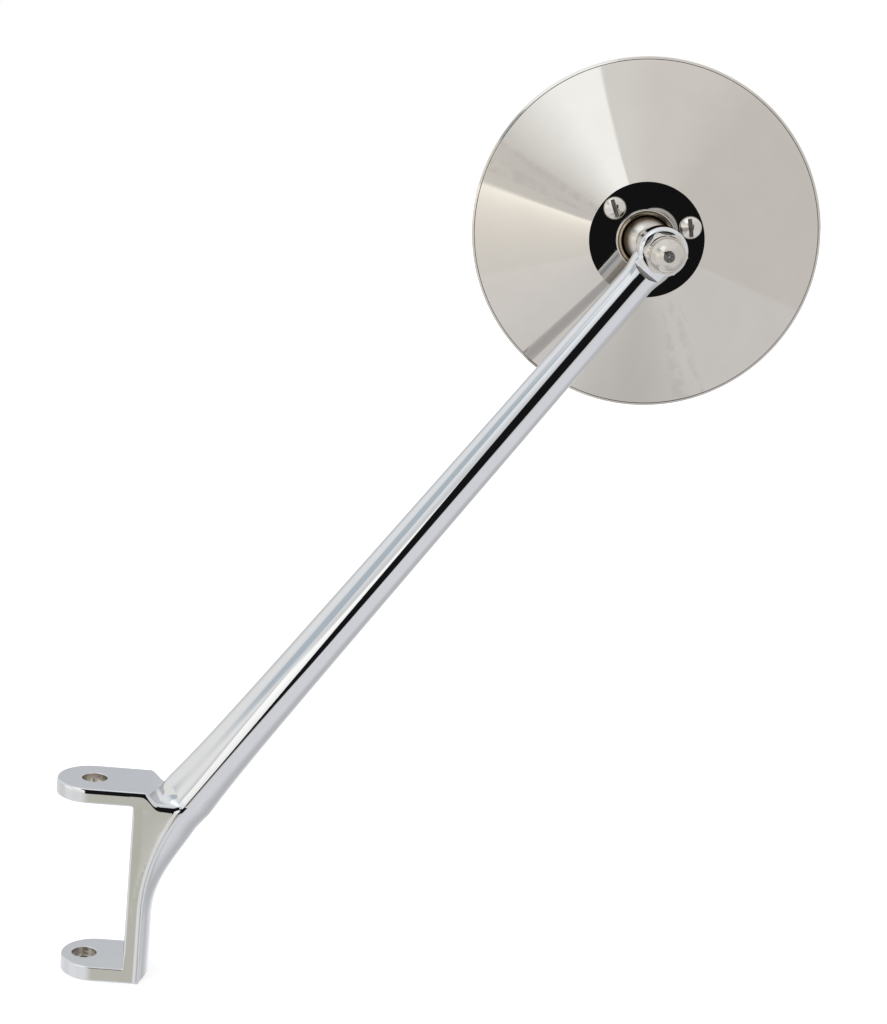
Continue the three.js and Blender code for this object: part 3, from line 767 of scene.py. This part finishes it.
def soft_zones(g, turn, high):
    """The tent's walls, top and floor, with their gentle differences."""
    light = g.blend(g.ramp(high, 38, 54), (1.0, 1.0, 1.0), (1.12, 1.12, 1.13))
    near_panel = g.times(g.ramp(turn, 0, -30), g.ramp(high, 30, 50))
    light = g.blend(near_panel, light, (1.2, 1.22, 1.24))
    light = g.blend(g.ramp(high, FLOOR_EDGE + 1, FLOOR_EDGE - 1), light, (1.05, 1.06, 1.1))
    shade = g.times(g.ramp(high, -29, -25.5), g.ramp(high, -8, -12), g.ramp(turn, -34, -8),
                    g.ramp(turn, 30, 14))
    light = g.blend(shade, light, (0.75, 0.735, 0.64))
    low_front = g.times(g.ramp(high, -56, -70), g.ramp(turn, -60, -20))
    light = g.blend(low_front, light, (0.84, 0.86, 0.88))
    right = g.times(g.ramp(turn, 78, 125), g.ramp(turn, 170, 140), g.ramp(high, 10, -20))
    light = g.blend(right, light, (0.72, 0.73, 0.74))
    low_left = g.times(g.ramp(turn, -60, -68), g.ramp(turn, -160, -120), g.ramp(high, 22, 19),
                       g.ramp(high, 0, 6))
    light = g.blend(low_left, light, (1.22, 1.21, 1.16))
    far_left = g.times(g.ramp(turn, -92, -108), g.ramp(turn, -150, -125), g.ramp(high, 12, 24))
    return g.blend(far_left, light, (1.2, 1.22, 1.24))


def bright_panels(g, light, turn, high):
    """The high and the low panel on the left, with the bluish patch, and the wall behind."""
    fade = g.math("MULTIPLY", g.math("SUBTRACT", high, 16.0), 1 / 24)
    fade = g.math("MINIMUM", g.math("MAXIMUM", fade, 0.0), 1.0)
    high_panel = g.times(fade, g.ramp(turn, HIGH_PANEL_RIGHT + 1, HIGH_PANEL_RIGHT - 1),
                         g.ramp(turn, -84, -70), g.ramp(high, 66, 56))
    light = g.blend(high_panel, light, (1.66, 1.74, 1.8))

    patch = g.times(g.ramp(turn, -100, -90), g.ramp(turn, -58, -64), g.ramp(high, 19, 22.5),
                    g.ramp(high, 34, 30))
    light = g.blend(patch, light, (0.68, 0.77, 0.83))

    nearer = g.math("MULTIPLY_ADD", g.math("ADD", turn, 25.0), -0.3, 9.0)
    top = g.math("MULTIPLY_ADD", g.ramp(turn, -61, -55), g.math("SUBTRACT", nearer, LEFT_PANEL_TOP),
                 LEFT_PANEL_TOP)
    below = g.math("SUBTRACT", top, high)
    glow = g.math("EXPONENT", g.math("MULTIPLY", below, -1 / 5))
    glow = g.math("MULTIPLY_ADD", g.math("EXPONENT", g.math("MULTIPLY", below, -1 / 25)), 0.55,
                  g.times(glow, 0.45))
    glow = g.times(glow, g.ramp(below, -1, 1), g.ramp(turn, -100, -80), g.ramp(turn, 0, -20))
    light = g.blend(glow, light, (1.78, 1.76, 1.7))

    back = g.times(g.ramp(g.math("ABSOLUTE", turn), 135, 158), g.ramp(high, -12, 0), g.ramp(high, 36, 20))
    return g.blend(back, light, (0.78, 0.8, 0.83))


def dark_opening(g, light, turn, high):
    """The opening in front, with a slanting left edge and a floor line that falls to the right."""
    slant = g.math("MULTIPLY_ADD", g.math("MAXIMUM", g.math("SUBTRACT", high, 3.0), 0.0), -0.85, -16.0)
    floor_line = g.math("MULTIPLY_ADD", g.math("MAXIMUM", g.math("ADD", turn, 2.0), 0.0), -0.45,
                        DARK_BOTTOM)
    dark = g.times(g.ramp(g.math("SUBTRACT", turn, slant), -0.8, 0.8),
                   g.ramp(turn, DARK_RIGHT + 0.8, DARK_RIGHT - 0.8),
                   g.ramp(high, DARK_TOP + 1, DARK_TOP - 1),
                   g.ramp(g.math("SUBTRACT", high, floor_line), -0.8, 0.8))
    return g.blend(dark, light, (0.012, 0.012, 0.014))


def make_floor():
    bpy.ops.mesh.primitive_circle_add(vertices=96, radius=4, fill_type="NGON",
                                      location=(EYE.x / 2, 0, cad_low.z))
    floor = bpy.context.object
    floor.name = "floor"
    material = bpy.data.materials.new("pale_floor")
    material.use_nodes = True
    shader = material.node_tree.nodes["Principled BSDF"]
    shader.inputs["Base Color"].default_value = (0.86, 0.86, 0.86, 1)
    shader.inputs["Roughness"].default_value = 1
    shader.inputs["Specular IOR Level"].default_value = 0
    shader.inputs["Emission Color"].default_value = (1, 1, 1, 1)
    shader.inputs["Emission Strength"].default_value = 0.35
    floor.data.materials.append(material)
    floor.visible_glossy = False
    floor.visible_transmission = False


# ---- Finishes -------------------------------------------------------------------------------
def new_material(name):
    material = bpy.data.materials.new(name)
    material.use_nodes = True
    return Graph(material.node_tree), material, material.node_tree.nodes["Principled BSDF"]


def edges(g, place, scale):
    """Where edges have been rubbed: convex edges, broken up by noise."""
    sharp = g.ramp(g.node("NewGeometry").outputs["Pointiness"], 0.52, 0.6)
    return g.times(sharp, g.ramp(g.noise(place, scale, seed=(3, 1, 4)), 0.35, 0.65))


def radius(g, split, first, second):
    """Distance from the axis that is square to the two named ones."""
    return g.math("SQRT", g.math("ADD", g.times(split[first], split[first]),
                                 g.times(split[second], split[second])))


def from_axis(g, place):
    """Distance from the y axis, and the y coordinate, in metres."""
    split = g.node("SeparateXYZ", Vector=place).outputs
    return radius(g, split, "X", "Z"), split["Y"]


def round_marks(g, place, fine):
    """Noise drawn out round the piece's own y axis, as polishing and turning leave it."""
    split = g.node("SeparateXYZ", Vector=place).outputs
    turn = g.math("ARCTAN2", split["Z"], split["X"])
    ring = g.node("CombineXYZ", X=g.times(radius(g, split, "X", "Z"), fine),
                  Y=g.times(split["Y"], fine), Z=g.math("COSINE", turn)).outputs[0]
    return g.noise(ring, 1.0, detail=4, roughness=0.6)


def metal(name, colour, rough, cloud=0.03, wave=0.0, marks=0.0, fine=2500.0, worn=None, cell=90.0,
          dull_and_shade=None):
    """A polished or plated metal. Lengths are metres: wave is the height of its gentle
    unevenness, marks the depth of the polishing marks round its axis. The last argument gives
    a part with its own colour and roughness, as a mask, a colour and a roughness: parts that
    aren't polished, and parts with painted shade."""
    g, material, shader = new_material(name)
    place = g.node("TexCoord").outputs["Object"]
    clouds = g.noise(place, cell, seed=(7, 2, 5))
    grain = g.noise(place, cell * 22, detail=2, seed=(1, 8, 3))
    mixed = g.math("ADD", g.times(clouds, 0.7), g.times(grain, 0.3))
    darker = tuple(c * (1 - cloud) for c in colour)
    lighter = tuple(min(1.0, c * (1 + cloud)) for c in colour)
    tone = g.blend(g.ramp(mixed, 0.3, 0.7), darker, lighter)
    tone = g.blend(g.times(edges(g, place, cell * 3), 0.6), tone, worn or tuple(c * 0.86 for c in colour))
    roughness = g.between(mixed, rough[0], rough[1])
    normal = g.bump(g.noise(place, cell, detail=1, seed=(2, 6, 1)), wave) if wave else None
    if marks:
        rings = round_marks(g, place, fine)
        normal = g.bump(rings, marks, normal=normal)
        roughness = g.math("ADD", roughness, g.times(rings, rough[1] * 0.5))
    normal = g.bump(grain, 1e-7, normal=normal)
    # Patches with their own colour and roughness: unpolished metal, and painted shade on the lip, the ball and the
    # screw slots.
    if dull_and_shade:
        mask, dull_and_shade_colour, dull_and_shade_rough = dull_and_shade(g, place)
        fleck = g.ramp(g.noise(place, 2500, detail=3, seed=(8, 8, 1)), 0.35, 0.65)
        tone = g.blend(mask, tone, g.blend(fleck, tuple(c * 0.7 for c in dull_and_shade_colour), dull_and_shade_colour))
        roughness = g.math("ADD", g.times(roughness, g.math("SUBTRACT", 1.0, mask)),
                           g.times(mask, g.between(fleck, dull_and_shade_rough * 0.8, dull_and_shade_rough * 1.2)))
    g.feed(shader.inputs["Base Color"], tone)
    g.feed(shader.inputs["Roughness"], roughness)
    g.feed(shader.inputs["Normal"], normal)
    shader.inputs["Metallic"].default_value = 1
    return material


def lip_painted_shade(g, place):
    """The inside half of the lip round the ball: painted shade, darker and browner, for light bounced between lip
    and ball.
    """
    out, y = from_axis(g, place)
    mask = g.times(g.ramp(out, 10.0 * MM, 9.9 * MM), g.ramp(y, (FLAT_Y - 0.3) * MM, (FLAT_Y - 0.8) * MM))
    return mask, (0.34, 0.28, 0.21), 0.12


def pin_holes(g, place):
    """The hinge-pin holes, reamed through the plating."""
    out = radius(g, g.node("SeparateXYZ", Vector=place).outputs, "X", "Y")
    return g.ramp(out, (PIN_R + 0.12) * MM, (PIN_R + 0.04) * MM), (0.6, 0.56, 0.5), 0.2


def ball_socket_painted_shade(g, place):
    """The part of the ball that runs in the socket: painted shade, dark and brown, with a rougher surface."""
    _, y = from_axis(g, place)
    mask = g.ramp(y, (BALL_Y - 7.8) * MM, (BALL_Y - 5.4) * MM)
    return mask, (0.085, 0.062, 0.042), 0.3


def sawn_tip(g, place):
    """The small flat on the nut's dome, left as it was cut off."""
    out, y = from_axis(g, place)
    mask = g.times(g.ramp(out, (TIP_FLAT_R + 0.1) * MM, TIP_FLAT_R * MM),
                   g.ramp(y, (NUT_TIP + 1.2) * MM, (NUT_TIP + 0.8) * MM))
    return mask, (0.3, 0.3, 0.29), 0.4


def slot_dirt_and_painted_shade(g, place):
    """Inside the screw's slot: dirt and painted shade, darker and rougher than the head."""
    split = g.node("SeparateXYZ", Vector=place).outputs
    half = SLOT_WIDE / 2
    mask = g.ramp(g.math("ABSOLUTE", split["Z"]), half * MM, (half - 0.03) * MM)
    floor_y = SLOT_DEEP - SCREW_HIGH
    mask = g.times(mask, g.ramp(split["Y"], (floor_y + 0.08) * MM, (floor_y + 0.03) * MM))
    return mask, (0.26, 0.235, 0.21), 0.45


def plain(name, colour, rough, cloud, relief, cell=400.0):
    """Rubber, plastic, foam or paint."""
    g, material, shader = new_material(name)
    place = g.node("TexCoord").outputs["Object"]
    clouds = g.noise(place, cell / 6, seed=(4, 4, 2))
    grain = g.noise(place, cell, detail=5, seed=(9, 1, 1))
    tone = g.blend(clouds, tuple(c * (1 - cloud) for c in colour), tuple(c * (1 + cloud) for c in colour))
    rubbed = tuple(min(1.0, c * 1.25 + 0.01) for c in colour)
    g.feed(shader.inputs["Base Color"], g.blend(edges(g, place, cell / 4), tone, rubbed))
    g.feed(shader.inputs["Roughness"], g.between(grain, rough[0], rough[1]))
    g.feed(shader.inputs["Normal"], g.bump(grain, relief))
    return material


def clear_glass():
    g, material, shader = new_material("pane_glass")
    place = g.node("TexCoord").outputs["Object"]
    dust = g.noise(place, 700, detail=4, seed=(5, 3, 2))
    clouds = g.noise(place, 30, seed=(2, 9, 4))
    tone = g.blend(clouds, (0.93, 0.97, 0.955), (0.95, 0.98, 0.97))
    g.feed(shader.inputs["Base Color"], g.blend(edges(g, place, 500), tone, (0.8, 0.87, 0.85)))
    g.feed(shader.inputs["Roughness"], g.between(dust, 0.0, 0.006))
    g.feed(shader.inputs["Normal"], g.bump(clouds, 2e-7))
    shader.inputs["Transmission Weight"].default_value = 1
    shader.inputs["IOR"].default_value = 1.52
    return material


def silvering():
    """Mirror film towards the glass, grey paint behind it and at its edge."""
    g, material, shader = new_material("mirror_film")
    coords = g.node("TexCoord").outputs
    place = coords["Object"]
    faces = g.node("SeparateXYZ", Vector=coords["Normal"]).outputs["Y"]
    silver = g.ramp(faces, 0.6, 0.9)
    clouds = g.noise(place, 60, seed=(6, 6, 3))
    paint = g.blend(clouds, (0.16, 0.17, 0.18), (0.22, 0.22, 0.22))
    mirror = g.blend(clouds, (0.86, 0.88, 0.88), (0.89, 0.9, 0.9))
    g.feed(shader.inputs["Base Color"], g.blend(edges(g, place, 300), g.blend(silver, paint, mirror),
                                                (0.4, 0.4, 0.4)))
    g.feed(shader.inputs["Metallic"], silver)
    g.feed(shader.inputs["Roughness"], g.math("ADD", g.math("MULTIPLY_ADD", silver, -0.5, 0.5),
                                              g.times(clouds, 0.01)))
    g.feed(shader.inputs["Normal"], g.bump(clouds, 1e-7))
    return material


# ---- The object -----------------------------------------------------------------------------
make_camera()
make_world()
make_floor()
bpy.context.scene.view_settings.view_transform = "Standard"

CHROME = (0.578, 0.584, 0.597)
STAINLESS = (0.521, 0.491, 0.451)
chrome = metal("chrome_plate", CHROME, (0.01, 0.04), cloud=0.015, wave=4e-6, worn=(0.56, 0.52, 0.46),
               dull_and_shade=pin_holes)
# The spun finish carries painted shade on the inside half of the lip round the ball.
spun = metal("spun_stainless", STAINLESS, (0.015, 0.035), cloud=0.015, marks=3e-8, fine=900.0,
             dull_and_shade=lip_painted_shade)
turned = metal("turned_stainless", STAINLESS, (0.05, 0.12), cloud=0.03, marks=4e-7, fine=6000.0)
# The ball's finish carries painted shade where the ball runs in the socket.
ball_steel = metal("ball_steel", STAINLESS, (0.1, 0.16), cloud=0.04, marks=3e-7, fine=6000.0,
                   dull_and_shade=ball_socket_painted_shade)
nut_steel = metal("nut_steel", STAINLESS, (0.06, 0.12), cloud=0.03, marks=4e-7, fine=6000.0,
                  dull_and_shade=sawn_tip)
# The screw finish carries dirt and painted shade inside the slots.
screws = metal("screw_steel", (0.56, 0.54, 0.51), (0.08, 0.2), cloud=0.06, wave=3e-6, cell=500.0,
               dull_and_shade=slot_dirt_and_painted_shade)
zinc = metal("zinc_plate", (0.46, 0.46, 0.45), (0.3, 0.45), cloud=0.08, wave=4e-6, cell=300.0)
spring = metal("spring_steel", (0.1, 0.11, 0.12), (0.3, 0.45), cloud=0.12, wave=3e-6, cell=300.0)
acetal = plain("acetal", (0.78, 0.74, 0.66), (0.4, 0.55), 0.04, 4e-6)
rubber = plain("gasket_rubber", (0.022, 0.022, 0.023), (0.55, 0.75), 0.2, 8e-6)
foam = plain("foam", (0.05, 0.046, 0.042), (0.85, 0.98), 0.15, 6e-5)

for node, material in (("ball_liner", acetal), ("ball_seat", acetal), ("disc_spring", spring),
                       ("retainer_plate", zinc), ("glass_pad", foam)):
    frame["nodes"][node].data.materials.clear()
    frame["nodes"][node].data.materials.append(material)
for number in (1, 2, 3):
    nut = frame["nodes"][f"clinch_nut_{number}"]
    nut.data.materials.clear()
    nut.data.materials.append(zinc)

casting_piece = field_piece("cast_arm_and_bracket", casting, low_corner, high_corner, 0.75,
                            bend=casting_bend)
belongs(casting_piece, "bracket", "chrome_casting", chrome, "arm_bracket")
belongs(ball_stud(), "stud", "polished_stainless", ball_steel, "ball_stud")
washer = field_piece("split_washer", washer_field, (-WASHER_R, WASHER_BACK, -WASHER_R),
                     (WASHER_R, WASHER_FACE, WASHER_R), 0.25, STEM)
belongs(washer, "bracket", "zinc_steel", turned, "lock_washer")
corner = NUT_FLATS / math.sqrt(3)
nut = field_piece("domed_nut", nut_field, (-corner, NUT_TIP, -corner), (corner, NUT_FACE, corner),
                  0.3, STEM)
belongs(nut, "bracket", "polished_stainless", nut_steel, "dome_nut")
belongs(head_shell(), "head", "polished_shell", spun, "head_shell")
belongs(rim_bezel(), "head", "polished_shell", spun, "rim_bezel")
belongs(disc("mirror_pane", GLASS_R, GLASS_BACK, GLASS_FRONT, 0.3), "head", "clear_glass",
        clear_glass(), "mirror_glass")
belongs(disc("silver_layer", SILVER_R, SILVER_BACK, SILVER_FRONT, 0), "head", "silvering",
        silvering(), "mirror_silvering")
belongs(glass_gasket(), "head", "black_rubber", rubber, "glass_gasket")
screw = mesh_field(screw_field, (-SCREW_R, -SCREW_HIGH, -SCREW_R),
                   (SCREW_R, SCREW_END - SCREW_SEAT, SCREW_R), 0.3)
for number in (1, 2, 3):
    belongs(clamp_screw(number, screw), "head", "polished_stainless", screws, f"clamp_screw_{number}")
